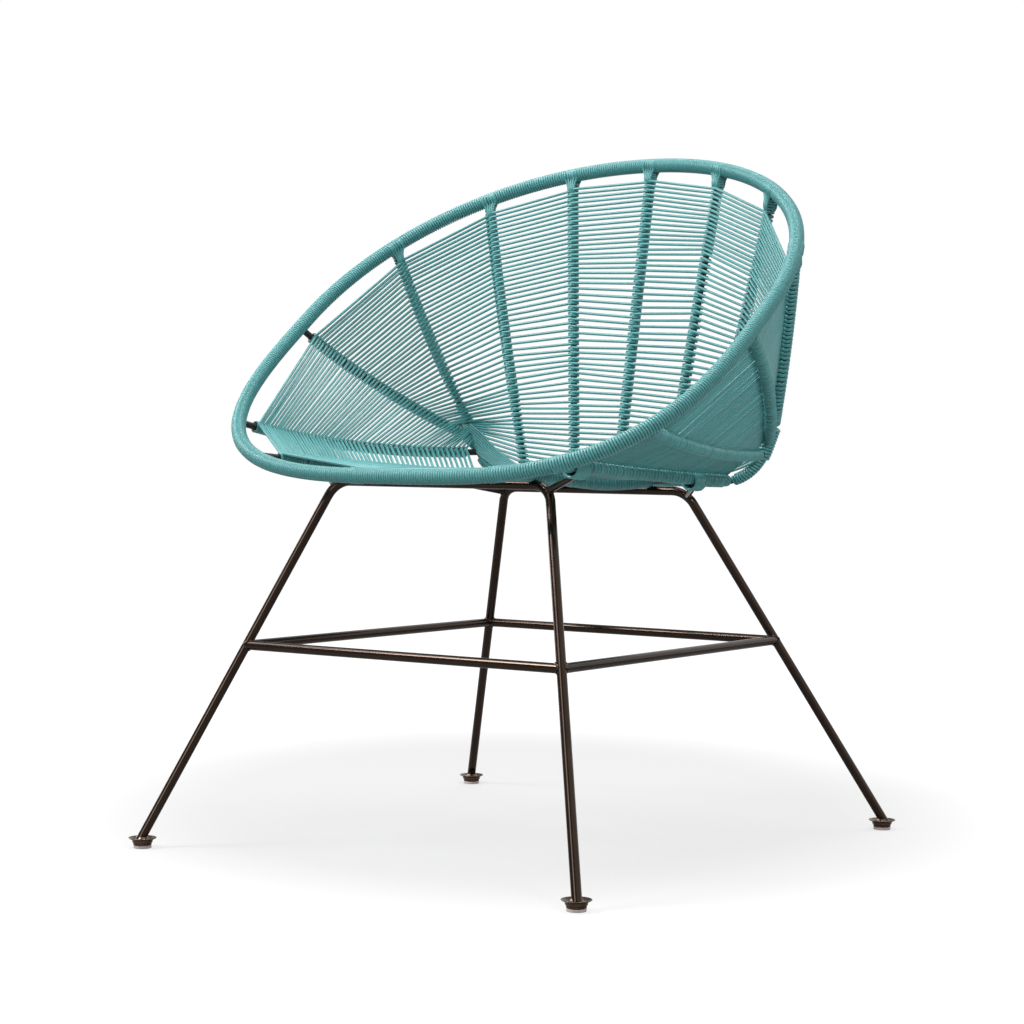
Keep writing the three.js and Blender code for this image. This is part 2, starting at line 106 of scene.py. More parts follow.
# Base rods. A leg frame has half widths at its feet and at its bar, and the set of its bar from the middle. A
# standoff starts on a bend, a share of the way up it, and meets its rib at a share of the rib's length
LEG_RADIUS = 5.5 * MM
LEG_BEND_RADIUS = 28 * MM
LEG_BEND_STEPS = 15
LEG_END_HEIGHT = 8.5 * MM
LEG_AIM_HEIGHT = 14 * MM
FRONT_FRAME = {"side": -1, "foot": 300.9 * MM, "bar": 150.8 * MM, "set": 162.6 * MM, "height": 423 * MM}
BACK_FRAME = {"side": 1, "foot": 312.4 * MM, "bar": 133.7 * MM, "set": 151.1 * MM, "height": 412.4 * MM}
FOOT_HALF_DEPTH = 326 * MM
STRETCHER_HEIGHT = 232.4 * MM
STANDOFF_RADIUS = 4 * MM
STANDOFF_OVERRUN = 6 * MM
STANDOFF_START = 0.4
STANDOFF_RIBS = {"left": 0, "right": 12}
STANDOFF_SHARES = {
    ("front", "left"): 0.27,
    ("front", "right"): 0.078,
    ("back", "left"): 0.75,
    ("back", "right"): 0.75,
}
ROD_START = 3 * MM
BEAD_RADIUS = 1.5 * MM
BEAD_LIFT = 0.2 * MM
BEAD_STEPS = 28

# Feet: turned profiles as radius and height in mm
FOOT_SEGMENTS = 48
CUP_PROFILE = ((0, 3.2), (9.9, 3.2), (10.4, 3.6), (10.5, 4.4), (10.8, 6.2), (11.5, 6.6), (11.7, 7.1),
               (11.9, 8.9), (12.4, 9.5), (14.0, 10.2), (15.6, 11.0), (16.1, 11.5), (15.9, 12.0),
               (15.3, 12.0), (13.8, 11.1), (12.0, 10.2), (10.2, 9.9), (8.0, 10.2), (6.6, 11.2),
               (5.9, 12.8), (5.2, 13.2), (0, 13.2))
PAD_PROFILE = ((0, 0), (9.8, 0), (10.2, 0.15), (10.3, 0.5), (10.3, 2.7), (10.1, 3.1), (9.4, 3.2), (0, 3.2))

# Sides of the round rods and cords, steps in a turn of cord, and steps from knot to knot of a soft curve
LEG_SIDES = 24
STANDOFF_SIDES = 20
CORE_SIDES = 16
CORD_SIDES = 8
TURN_STEPS = 14
RIM_TURN_STEPS = 12
FAN_STEPS = 5
BUNDLE_STEPS = 6

# The cord's radius, as a share of the pitch on the rim and of the diameter elsewhere
RIM_CORD_SHARE = 0.465
FAN_CORD_SHARE = 0.45
BUNDLE_CORD_SHARE = 0.46

# Fans on the ribs' tops: how far their cords lie apart on the rib and on the rim, and how far out they lie on
# the rib, as a share of the diameter
FAN_WAIST = 1.9 * MM
FAN_FOOT = 3.75 * MM
FAN_OUT_SHARE = 0.9
FAN_HEADING_PLACE = 12 * MM

# A fan cord's path, in mm and degrees: on the rib as (place past the fan's reach, lift), on the rim as
# (angle, lift). It crosses at a share of the way from the last point on the rib to the first on the rim
FAN_ON_RIB = ((2, -1.2), (-2, 0.1), (-7, 0.8))
FAN_ON_RIM = ((25, 1.2), (48, 1.0), (85, 0.6), (120, 0.2), (140, -1.4))
FAN_CROSSING = 0.3

# The plain winding on a rib's top, from under the rim to a space before the first row
TOP_COIL_START = 9 * MM
TOP_COIL_SPACE = 3 * MM

# Cord that binds each standoff's end to its rib: its middle lies a drop below the rib's
BINDING_HALF = 14 * MM
BINDING_STEPS = 4
BINDING_DROP = 4 * MM
BINDING_RADIUS = 9.3 * MM

# Where the rows cross the ribs: the distances of every fifth row from the rim's middle line, in mm. Those of
# 1 to 8 were followed in the photograph, with estimates where they are hidden low down. Those of 0 come from
# the slant of its rows there. Those of 9 to 11 weren't measured: they mirror 3 to 1, at about their lengths.
# On the other ribs the rows are even, up to a space before the rib's end
ROW_PLACES = {
    0: (42, 60, 80, 104, 128, 156, 188, 226, 268, 310, 354),
    1: (27, 51, 76, 104, 132, 160, 193, 231, 272, 312, 352),
    2: (22, 47, 73.5, 102, 128, 154.5, 181, 211, 240, 262, 275),
    3: (20.5, 45, 73, 101.5, 129.5, 159, 191.5, 221, 241),
    4: (19.8, 47, 76, 105, 135, 169.5, 208, 247, 276, 306.5, 337),
    5: (20.6, 50.3, 81.3, 111, 142, 181, 226, 258.5, 300.5, 335.5, 371),
    6: (20.8, 50, 83, 116, 150, 192, 232, 269.5, 305, 341, 377),
    7: (23.8, 52, 78, 105, 141, 178, 220, 262, 298, 333, 368),
    8: (25.5, 50, 77, 103, 134, 166, 201, 237, 272, 306, 340),
    9: (22, 47, 74, 102, 130, 160, 192, 220, 237),
    10: (24, 49, 76, 104, 131, 158, 186, 217, 247, 270, 285),
    11: (27, 51, 76, 104, 132, 161, 195, 233, 274, 314, 355),
}
ROW_PLACE_STEP = 5
FULL_ROWS = 52
EVEN_FIRST = 27 * MM
EVEN_STOP = 14 * MM
BARE_STOPS = {13: 52 * MM}
ROW_STOP = 4 * MM
LOOSE_UNEVENNESS = 2.2

# A row's turns round a rib. They climb towards the rim, and rows further apart than a pitch turn twice. The
# climbs and the width of a double turn are shares of the diameter
LEAN_LIMIT = math.radians(50)
SECOND_TURN_PITCH = 4.4 * MM
SINGLE_CLIMB = 0.39
DOUBLE_CLIMB = 0.2
DOUBLE_WIDTH = 1.1

# The bundle at the seat bar's left upturned end: points down its outer and inner edges as (x, z), and their y
BUNDLE_OUTER = ((-249, 500), (-252, 491), (-232, 473), (-206, 454), (-186.5, 442), (-166, 430), (-152, 424))
BUNDLE_INNER = ((-230, 502), (-226, 495), (-204.6, 482), (-180, 461), (-156, 446), (-128, 432), (-112, 424.5))
BUNDLE_DEPTHS = (207, 195.5, 193.5, 192.5, 192.5, 192, 196)

# Where the long rows join the bundle: across it, down it from a first place by a span that crowds at its top,
# and behind its face
JOIN_ACROSS = 0.93
JOIN_FIRST = 1.05
JOIN_SPAN = 2.3
JOIN_POWER = 1.6
JOIN_BEHIND = 1.5 * MM

# The plain winding below the rows of the left rib of the seat: its space to the last row and to the rib's end
LOW_COIL_SPACE = 4 * MM
LOW_COIL_STOP = 9 * MM

# Where the right upturned end carries the long rows, the strands that cross the corner beside it, and the
# step from one of those to the next in diameters
ARM_FIRST = 3 * MM
ARM_REACH = 35 * MM
ARM_RADIUS = 7.9 * MM
CORNER_STRAND = ((132, 195, 431), (152, 192.5, 433), (178, 192, 438.5), (204, 192.5, 449), (219, 198, 461))
CORNER_STRANDS = 3
CORNER_STEP = (-0.35, 0, 0.94)

# The seat bar's winding: start and stop as shares of half its length from its middle, and pitch in mm
BAR_COILS = ((-0.99, -0.868, 3.4), (-0.82, 0.6, 3.3), (0.665, 0.855, 3.7), (0.868, 0.99, 3.4))

# The middle of the basket, which every winding's inner face looks at
BASKET_MIDDLE = Vector((0, -10 * MM, 590 * MM))

# The photograph's camera: the side that it stands on, its fall and roll, its place, and its lens in mm
VIEW_AZIMUTH = math.radians(35.5)
VIEW_FALL = math.radians(1.704)
VIEW_ROLL = math.radians(0.465)
CAMERA_PLACE = (1.6227, -2.296, 0.4707)
CAMERA_LENS = 83.53
CAMERA_SENSOR = 36

# The painted shade on the floor, a grey pool where the light falls off: its middle, its half width and half
# depth, where it starts to fade, its level, and how strongly shadows show in it
POOL_CENTRE = (-0.174, 0.244, 0)
POOL_SIZE = (0.82, 1.08, 1)
POOL_FADE = 0.45
POOL_LEVEL = 0.69
POOL_SHADE = 0.15
FLOOR_SIZE = 30

# What glossy surfaces reflect: a tall strip box on the left beside dark flags, and a broad soft light on the
# right. Places and edges are shares of the way to the side. The last value is the level of all other light
STRIP_PLACE = 0.62
STRIP_EDGES = (0.07, 0.2)
STRIP_LEVEL = 5.5
FLAG_LEVEL = 0.35
SIDE_EDGES = (-0.2, 0.35)
SIDE_LEVEL = 0.75
AMBIENT_LEVEL = 0.32

# Soft lamps: name, place, width and watts, all aimed at one spot
LAMPS = (("key", (-1.7, -1.9, 2.6), 1.0, 92.0),
         ("fill", (2.8, -1.6, 1.7), 0.9, 32.0),
         ("top", (0.0, 0.5, 3.0), 1.4, 56.0))
LAMP_AIM = (0, 0, 0.4)

# Seed of the small unevenness that hand weaving leaves
WEAVE_SEED = 11


class ChairCordSizes(bpy.types.PropertyGroup):
    """Sizes and counts of the cord work."""

    diameter: bpy.props.FloatProperty(
        name="Cord diameter", description="Thickness of the cord", default=3.4 * MM, unit="LENGTH")
    turn: bpy.props.FloatProperty(
        name="Winding pitch", description="Distance from one turn on the rim to the next",
        default=3.2 * MM, unit="LENGTH")
    rows: bpy.props.IntProperty(
        name="Rows", description="Cord rows from the rim down to the seat bar", default=52, min=10)
    tip_rows: bpy.props.IntProperty(
        name="Rows on the short ribs", description="Rows that the two shortest ribs hold", default=42, min=8)
    unevenness: bpy.props.FloatProperty(
        name="Unevenness", description="How far a row may lie from its own place",
        default=0.45 * MM, unit="LENGTH")
    fan_reach: bpy.props.FloatProperty(
        name="Fan reach", description="How far the fans run down the ribs", default=21 * MM, unit="LENGTH")
    fan_cords: bpy.props.IntProperty(
        name="Cords in a fan", description="Cords that spread from a rib's top on to the rim",
        default=10, min=6)
    bundle_cords: bpy.props.IntProperty(
        name="Cords in the bundle", description="Cords that run along the seat bar's left upturned end",
        default=9, min=3)


class ChairColours(bpy.types.PropertyGroup):
    """Colours as sRGB hex values."""

    cord: bpy.props.StringProperty(name="Cord", description="Teal of the cord", default="4D9596")
    frame: bpy.props.StringProperty(name="Base", description="Dark bronze of the base rods", default="362B24")
    cup: bpy.props.StringProperty(name="Cups", description="Bronze of the foot cups, lightened as painted reflection", default="5C4B40")
    # The cups' bronze is a lighter copy of the rods' coat: a painted reflection for the pale gleam on their
    # flanges
    core: bpy.props.StringProperty(
        name="Ribs", description="Near black of the ribs, hoop and seat bar", default="1F1A19")
    pad: bpy.props.StringProperty(name="Foot pads", description="Pale pads under the feet", default="C9B8B4")
    floor: bpy.props.StringProperty(name="Floor", description="Studio floor", default="A8A8A8")


def linear(hex_value):
    """An sRGB hex value as linear red, green, blue and alpha."""
    parts = [int(hex_value[i:i + 2], 16) / 255 for i in (0, 2, 4)]
    return [c / 12.92 if c <= 0.04045 else ((c + 0.055) / 1.055) ** 2.4 for c in parts] + [1.0]


def add_node(tree, kind, settings=None, inputs=None):
    """Adds one shader node with its settings, and fills or links its sockets."""
    made = tree.nodes.new(kind)
    for name, value in (settings or {}).items():
        setattr(made, name, value)
    for name, value in (inputs or {}).items():
        if isinstance(value, bpy.types.NodeSocket):
            tree.links.new(value, made.inputs[name])
        else:
            made.inputs[name].default_value = value
    return made


class Run:
    """A line through points set close together, measured by the distance from its start."""

    def __init__(self, points):
        self.points = points
        self.marks = [0.0]
        for before, after in zip(points, points[1:]):
            self.marks.append(self.marks[-1] + (after - before).length)
        self.length = self.marks[-1]

    def at(self, distance):
        """The point at a distance from the start."""
        distance = min(max(distance, 0.0), self.length)
        i = min(max(bisect.bisect_right(self.marks, distance) - 1, 0), len(self.points) - 2)
        span = self.marks[i + 1] - self.marks[i]
        return self.points[i].lerp(self.points[i + 1], (distance - self.marks[i]) / span if span else 0.0)

    def heading(self, distance):
        """The direction of the line at a distance from the start."""
        return (self.at(distance + HEADING_REACH) - self.at(distance - HEADING_REACH)).normalized()


def across(vector, axis):
    """The part of a vector that is square to an axis, at length one."""
    return (vector - vector.dot(axis) * axis).normalized()


def smooth_run(knots, steps):
    """Points on a soft curve through the knots, which bends less where two of them lie close together."""
    points = []
    last = len(knots) - 1
    for i in range(last):
        here, there = knots[i], knots[i + 1]
        before = knots[i - 1] if i > 0 else 2 * here - there
        after = knots[i + 2] if i < last - 1 else 2 * there - here
        gap_a, gap_b, gap_c = (max(math.sqrt((q - p).length), 1e-5)
                               for p, q in ((before, here), (here, there), (there, after)))
        out = ((here - before) / gap_a - (there - before) / (gap_a + gap_b) + (there - here) / gap_b) * gap_b
        into = ((there - here) / gap_b - (after - here) / (gap_b + gap_c) + (after - there) / gap_c) * gap_b
        for k in range(steps):
            t = k / steps
            points.append((2 * t ** 3 - 3 * t ** 2 + 1) * here + (t ** 3 - 2 * t ** 2 + t) * out
                          + (3 * t ** 2 - 2 * t ** 3) * there + (t ** 3 - t ** 2) * into)
    return points + [knots[-1]]


def bent_run(corners, radius, steps):
    """Points of a bent rod: straight between its corners, with a round bend at each inner corner."""
    points = [corners[0]]
    for before, corner, after in zip(corners, corners[1:], corners[2:]):
        back, ahead = (before - corner).normalized(), (after - corner).normalized()
        half = back.angle(ahead) / 2
        centre = corner + (back + ahead).normalized() * radius / math.sin(half)
        spoke = corner + back * radius / math.tan(half) - centre
        axle = ahead.cross(back).normalized()
        bend = math.pi - 2 * half
        points += [centre + Quaternion(axle, bend * k / steps) @ spoke for k in range(steps + 1)]
    return points + [corners[-1]]


def rim_point(share):
    """The rim's middle line at a share of a full turn from its back towards +X."""
    turn = 2 * math.pi * share
    side, along = math.sin(turn), math.cos(turn)
    power = BACK_RIM_POWER if along >= 0 else FRONT_RIM_POWER
    reach = (abs(side) / RIM_HALF_WIDTH) ** power + (abs(along) / RIM_HALF_LENGTH) ** power
    radius = reach ** (-1 / power)
    return Vector((radius * side, RIM_SET_BACK + radius * along * math.cos(RIM_TILT),
                   RIM_MIDDLE_HEIGHT + radius * along * math.sin(RIM_TILT)))


def rim_heading(share):
    """The rim's direction at a share of a full turn."""
    return (rim_point(share + HEADING_SHARE) - rim_point(share - HEADING_SHARE)).normalized()


RIM_NORMAL = Vector((0, -math.sin(RIM_TILT), math.cos(RIM_TILT)))
RIM = Run([rim_point(k / RIM_STEPS) for k in range(RIM_STEPS + 1)])
BAR = Run(bent_run([Vector(c) * MM for c in BAR_CORNERS], BAR_BEND_RADIUS, BAR_BEND_STEPS))
# The seat bar measured from its right end
ARM = Run(list(reversed(BAR.points)))


def bar_place(share):
    """Distance along the seat bar for a share of half its length from its middle."""
    return (1 + share) / 2 * BAR.length


def frame_corners(sizes):
    """The corners of a leg frame from its left foot to its right one, and its right foot's aim point."""
    foot = Vector((sizes["foot"], sizes["side"] * FOOT_HALF_DEPTH, LEG_AIM_HEIGHT))
    corner = Vector((sizes["bar"], sizes["side"] * sizes["set"], sizes["height"]))
    share = (sizes["height"] - LEG_END_HEIGHT) / (sizes["height"] - LEG_AIM_HEIGHT)
    end = corner + (foot - corner) * share
    mirror = Matrix.Scale(-1, 3, (1, 0, 0))
    return [mirror @ end, mirror @ corner, corner, end], foot


def rib_run(index):
    """The middle line of a rib from the rim to the seat bar."""
    start, end = rim_point(RIB_TURNS[index]), BAR.at(bar_place(RIB_BAR_SHARES[index]))
    if index in SEAT_RIBS:
        def at_depth(y, z):
            """A point at a depth and height, in the upright plane through the rib's ends."""
            return Vector((start.x + (end.x - start.x) * (y - start.y) / (end.y - start.y), y, z))

        rest = LEG_RADIUS + SEAT_SPACE + RIB_RADIUS
        knots = [start,
                 at_depth(-FRONT_FRAME["set"], FRONT_FRAME["height"] + rest),
                 at_depth(start.y + SEAT_LOW_SHARE * (end.y - start.y), SEAT_LOW_HEIGHT),
                 at_depth(BACK_FRAME["set"], BACK_FRAME["height"] + rest),
                 end]
        return Run(smooth_run(knots, SEAT_RIB_STEPS))
    outward, downward = RIB_BOWS[index]
    bow = 2 * RIB_BOW * Vector((math.copysign(outward, start.x), 0, -downward))
    control = start.lerp(end, BOW_PLACE) + bow
    return Run([(1 - t) ** 2 * start + 2 * t * (1 - t) * control + t ** 2 * end
                for t in (k / BOW_STEPS for k in range(BOW_STEPS + 1))])


RIBS = [rib_run(index) for index in range(len(RIB_TURNS))]
COUNT = len(RIBS)


def row_marks(sizes):
    """Each rib's row places as distances from the rim. The short ribs hold fewer rows than the long ones."""
    spread = random.Random(WEAVE_SEED)
    marks = []
    for index, run in enumerate(RIBS):
        count = sizes.tip_rows if index in TIP_RIBS else sizes.rows
        table = ROW_PLACES.get(index)
        places = []
        for row in range(count):
            if table:
                step = row / (sizes.rows - 1) * (FULL_ROWS - 1) / ROW_PLACE_STEP
                k = min(int(step), len(table) - 2)
                place = (table[k] + (table[k + 1] - table[k]) * (step - k)) * MM
            else:
                last = run.length - BARE_STOPS.get(index, EVEN_STOP)
                place = EVEN_FIRST + (last - EVEN_FIRST) * row / (count - 1)
            slack = sizes.unevenness * (LOOSE_UNEVENNESS if index in LOOSE_RIBS else 1)
            places.append(min(place + spread.uniform(-1, 1) * slack, run.length - ROW_STOP))
        marks.append(places)
    return marks


def bundle_point(across_share, down, behind=0.0):
    """A point of the bundle beside the left short rib: across_share runs from its outer to its inner edge,
    and down is a place in its list of points."""
    k = min(int(down), len(BUNDLE_DEPTHS) - 2)
    spots = []
    for n in (k, k + 1):
        outer, inner = BUNDLE_OUTER[n], BUNDLE_INNER[n]
        x = outer[0] + (inner[0] - outer[0]) * across_share
        z = outer[1] + (inner[1] - outer[1]) * across_share
        spots.append(Vector((x, BUNDLE_DEPTHS[n], z)) * MM)
    return spots[0].lerp(spots[1], down - k) + Vector((0, behind, 0))


def past_share(sizes, held, row):
    """How far a long row lies past the last row that a short rib holds: 1 at the last row of all."""
    return (row - held) / (sizes.rows - 1 - held)


def row_centre(sizes, marks, index, row):
    """Where a row meets a rib's middle line. Past the left short rib's end it meets the bundle instead, and
    past the right one's the seat bar's upturned end."""
    held = len(marks[index])
    if row < held:
        return RIBS[index].at(marks[index][row])
    share = past_share(sizes, held, row)
    if index == TIP_RIBS[0]:
        return bundle_point(JOIN_ACROSS, JOIN_FIRST + JOIN_SPAN * share ** JOIN_POWER, JOIN_BEHIND)
    return ARM.at(ARM_FIRST + ARM_REACH * share)


def lean(way, heading, inward):
    """The angle at which a row that runs a given way touches its winding, from the rib's inner side."""
    rise = max(-1.0, min(1.0, across(way, heading).dot(inward)))
    return max(-LEAN_LIMIT, min(LEAN_LIMIT, -math.asin(rise)))


def row_turns(sizes, marks, centres, index, row):
    """The points of a row's turns round a rib, from where it comes in to where it goes on. On the bundle it
    has one point."""
    centre, held = centres[index][row], len(marks[index])
    turns, climb = 1, SINGLE_CLIMB * sizes.diameter
    if row < held:
        line, place, radius = RIBS[index], marks[index][row], RIB_RADIUS + sizes.diameter / 2
        near = marks[index][max(row - 1, 0):row + 2]
        pitch = (near[-1] - near[0]) / (len(near) - 1)
        # Where the rows lie apart, each takes a second turn, and a thin line of rod shows between them
        if pitch > SECOND_TURN_PITCH:
            turns = 2
            climb = max((pitch - DOUBLE_WIDTH * sizes.diameter) / 2, DOUBLE_CLIMB * sizes.diameter)
    elif index == TIP_RIBS[0]:
        return [centre]
    else:
        line, place, radius = ARM, ARM_FIRST + ARM_REACH * past_share(sizes, held, row), ARM_RADIUS
    heading = line.heading(place)
    inward = across(BASKET_MIDDLE - centre, heading)
    before = centre - centres[index - 1][row]
    after = centres[(index + 1) % COUNT][row] - centre
    sideways = heading.cross(inward)
    if sideways.dot(after) < 0:
        sideways = -sideways
    start = lean(before, heading, inward)
    stop = 2 * math.pi * turns + lean(after, heading, inward)
    steps = TURN_STEPS * turns
    points = []
    for k in range(steps + 1):
        share = k / steps
        turn = start + (stop - start) * share
        spot = line.at(place + (1 - 2 * share) * climb)
        points.append(spot + radius * (inward * math.cos(turn) + sideways * math.sin(turn)))
    return points


def wrap_points(sizes, marks):
    """For each rib and row, the points of the row's turns round the rib."""
    centres = [[row_centre(sizes, marks, index, row) for row in range(sizes.rows)] for index in range(COUNT)]
    return [[row_turns(sizes, marks, centres, index, row) for row in range(sizes.rows)]
            for index in range(COUNT)]


def coil_points(run, start, stop, radius, pitch):
    """Points of a plain winding round a rod, turn beside turn."""
    steps = max(round((stop - start) / pitch), 1) * TURN_STEPS
    points = []
    for k in range(steps + 1):
        distance = start + (stop - start) * k / steps
        heading = run.heading(distance)
        inward = across(BASKET_MIDDLE - run.at(distance), heading)
        turn = 2 * math.pi * k / TURN_STEPS
        points.append(run.at(distance)
                      + radius * (inward * math.cos(turn) + heading.cross(inward) * math.sin(turn)))
    return points


def link(name, data):
    """Puts a finished mesh, lamp or camera into the scene."""
    made = bpy.data.objects.new(name, data)
    bpy.context.scene.collection.objects.link(made)
    return made


def fan_cord(sizes, index, number, rim_radius):
    """One cord of the fan on a rib's top: up the rib's front or back, and over the rim."""
    run = RIBS[index]
    along = rim_heading(RIB_TURNS[index])
    down = across(run.heading(FAN_HEADING_PLACE), along)
    half = sizes.fan_cords // 2
    face = (1 if number < half else -1) * along.cross(down)
    place = (number % half) - (half - 1) / 2
    waist = place * FAN_WAIST
    rib_radius = RIB_RADIUS + sizes.diameter * FAN_OUT_SHARE

    def on_rib(distance, lift):
        """A point that lies on the rib's winding, at a distance from the rim."""
        return run.at(distance) + along * waist + face * (math.sqrt(rib_radius ** 2 - waist ** 2) + lift)

    def on_rim(angle, lift):
        """A point that lies on the rim's winding, at an angle from the rib's direction."""
        spoke = down * math.cos(math.radians(angle)) + face * math.sin(math.radians(angle))
        return run.at(0) + along * place * FAN_FOOT + spoke * (rim_radius + lift)

    low = [on_rib(sizes.fan_reach + past * MM, lift * MM) for past, lift in FAN_ON_RIB]
    high = [on_rim(angle, lift * MM) for angle, lift in FAN_ON_RIM]
    crossing = low[-1].lerp(high[0], FAN_CROSSING)
    return smooth_run(low[:-1] + [crossing] + high[1:], FAN_STEPS)


def tube_piece(name, lines, radius, sides=CORD_SIDES, closed=False):
    """One mesh of round rods or cords, one along each line of points."""
    curve = bpy.data.curves.new(name, "CURVE")
    curve.dimensions = "3D"
    curve.bevel_depth = radius
    # Blender gives a tube four sides and two more for each step of its resolution
    curve.bevel_resolution = max(sides // 2 - 2, 0)
    curve.use_fill_caps = True
    for line in lines:
        spline = curve.splines.new("POLY")
        spline.points.add(len(line) - 1)
        spline.points.foreach_set("co", [v for p in line for v in (p.x, p.y, p.z, 1.0)])
        spline.use_cyclic_u = closed
    holder = link(name + "_line", curve)
    bpy.context.view_layer.update()
    shape = holder.evaluated_get(bpy.context.evaluated_depsgraph_get())
    mesh = bpy.data.meshes.new_from_object(shape)
    bpy.data.objects.remove(holder)
    bpy.data.curves.remove(curve)
    mesh.name = name
    mesh.materials.clear()
    return link(name, mesh)


def spun_piece(name, profile, place):
    """A turned piece from its profile of radius and height in mm, standing at a place."""
    work = bmesh.new()
    corners = [work.verts.new((r * MM, 0, z * MM)) for r, z in profile]
    edges = [work.edges.new(pair) for pair in zip(corners, corners[1:])]
    bmesh.ops.spin(work, geom=corners + edges, cent=(0, 0, 0), axis=(0, 0, 1), angle=2 * math.pi,
                   steps=FOOT_SEGMENTS, use_merge=True)
    bmesh.ops.remove_doubles(work, verts=work.verts, dist=1e-6)
    bmesh.ops.recalc_face_normals(work, faces=work.faces)
    bmesh.ops.translate(work, verts=work.verts, vec=place)
    mesh = bpy.data.meshes.new(name)
    work.to_mesh(mesh)
    work.free()
    for face in mesh.polygons:
        face.use_smooth = True
    return link(name, mesh)


def weld_ring(joint, rod, rod_radius, other, other_radius):
    """The closed line where a rod's wall meets another rod's wall, on the side that the rod comes from."""
    first = rod.cross(other).normalized()
    second = rod.cross(first).normalized()
    slant = rod - rod.dot(other) * other
    ring = []
    for k in range(BEAD_STEPS):
        turn = 2 * math.pi * k / BEAD_STEPS
        spoke = rod_radius * (first * math.cos(turn) + second * math.sin(turn))
        flat = spoke - spoke.dot(other) * other
        room = max(flat.dot(slant) ** 2 - slant.length_squared * (flat.length_squared - other_radius ** 2), 0)
        out = (-flat.dot(slant) + math.sqrt(room)) / slant.length_squared
        ring.append(joint + spoke + rod * (out + BEAD_LIFT))
    return ring


def finish_piece(piece, material, slot, *nodes):
    """Gives a piece its material and its place in the frame, and hides the nodes that it stands for."""
    piece.data.materials.append(material)
    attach(piece, "root")
    if nodes:
        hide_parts(*nodes)


def start_material(name):
    """An empty node material with its output."""
    material = bpy.data.materials.new(name)
    material.use_nodes = True
    tree = material.node_tree
    tree.nodes.clear()
    return material, tree, add_node(tree, "ShaderNodeOutputMaterial")


def object_noise(tree, size, detail=2.0):
    """Noise on object coordinates whose blobs are about a given size across."""
    place = add_node(tree, "ShaderNodeTexCoord")
    return add_node(tree, "ShaderNodeTexNoise", inputs={
        "Vector": place.outputs["Object"], "Scale": 1 / size, "Detail": detail}).outputs["Fac"]


def smooth_step(tree, value, edges, levels):
    """A value turned into a soft step from one level to another, between two edges."""
    return add_node(tree, "ShaderNodeMapRange", {"interpolation_type": "SMOOTHSTEP"}, {
        "Value": value, "From Min": edges[0], "From Max": edges[1],
        "To Min": levels[0], "To Max": levels[1]}).outputs[0]


def tinted(tree, colour, spread, amount):
    """A colour made lighter and darker by a value between 0 and 1."""
    level = add_node(tree, "ShaderNodeMapRange", inputs={
        "Value": spread, "From Min": 0.25, "From Max": 0.75, "To Min": 1 - amount, "To Max": 1 + amount})
    return add_node(tree, "ShaderNodeVectorMath", {"operation": "SCALE"}, {
        0: colour[:3], "Scale": level.outputs[0]}).outputs[0]


def cord_material(name, colours):
    """Extruded vinyl cord: dyed through, matt, with a soft broad sheen and a faint mottle where it was
    handled. Each length takes the dye a little differently."""
    material, tree, output = start_material(name)
    mottle = object_noise(tree, 9 * MM, 3.0)
    each = add_node(tree, "ShaderNodeNewGeometry").outputs["Random Per Island"]
    both = add_node(tree, "ShaderNodeMix", {"data_type": "FLOAT"}, {0: 0.45, 2: mottle, 3: each}).outputs[0]
    # Drawing lines of about 0.6 mm, as coarse as the render can show
    grain = object_noise(tree, 0.6 * MM, 1.0)
    bump = add_node(tree, "ShaderNodeBump", inputs={"Strength": 0.12, "Distance": 0.1 * MM, "Height": grain})
    rough = add_node(tree, "ShaderNodeMapRange", inputs={"Value": mottle, "To Min": 0.3, "To Max": 0.45})
    shader = add_node(tree, "ShaderNodeBsdfPrincipled", inputs={
        "Base Color": tinted(tree, linear(colours.cord), both, 0.1),
        "Roughness": rough.outputs[0],
        "IOR": 1.53,
        # A thin chalky bloom, which turns the cord pale where it is seen along its length
        "Sheen Weight": 0.16,
        "Sheen Roughness": 0.4,
        "Normal": bump.outputs[0]})
    tree.links.new(shader.outputs[0], output.inputs[0])
    return material


def coated_material(name, hex_value, speck, rough_low, rough_high, metallic, depth):
    """Powder coat on steel rod: a thin skin with an orange peel that breaks up its highlight."""
    material, tree, output = start_material(name)
    peel = object_noise(tree, speck)
    wear = object_noise(tree, 22 * MM, 4.0)
    bump = add_node(tree, "ShaderNodeBump", inputs={"Strength": 0.35, "Distance": depth, "Height": peel})
    rough = add_node(tree, "ShaderNodeMapRange", inputs={"Value": wear, "From Min": 0.3, "From Max": 0.7,
                                                        "To Min": rough_low, "To Max": rough_high})
    shader = add_node(tree, "ShaderNodeBsdfPrincipled", inputs={
        "Base Color": tinted(tree, linear(hex_value), wear, 0.14),
        "Roughness": rough.outputs[0],
        "Metallic": metallic,
        "Normal": bump.outputs[0]})
    tree.links.new(shader.outputs[0], output.inputs[0])
    return material


def pad_material(name, colours):
    """Moulded soft plastic: matt, slightly chalky, with the fine spark texture of its mould."""
    material, tree, output = start_material(name)
    spark = object_noise(tree, 0.7 * MM)
    dust = object_noise(tree, 5 * MM, 3.0)
    bump = add_node(tree, "ShaderNodeBump", inputs={"Strength": 0.3, "Distance": 0.08 * MM, "Height": spark})
    shader = add_node(tree, "ShaderNodeBsdfPrincipled", inputs={
        "Base Color": tinted(tree, linear(colours.pad), dust, 0.08),
        "Roughness": 0.72,
        "IOR": 1.5,
        "Normal": bump.outputs[0]})
    tree.links.new(shader.outputs[0], output.inputs[0])
    return material


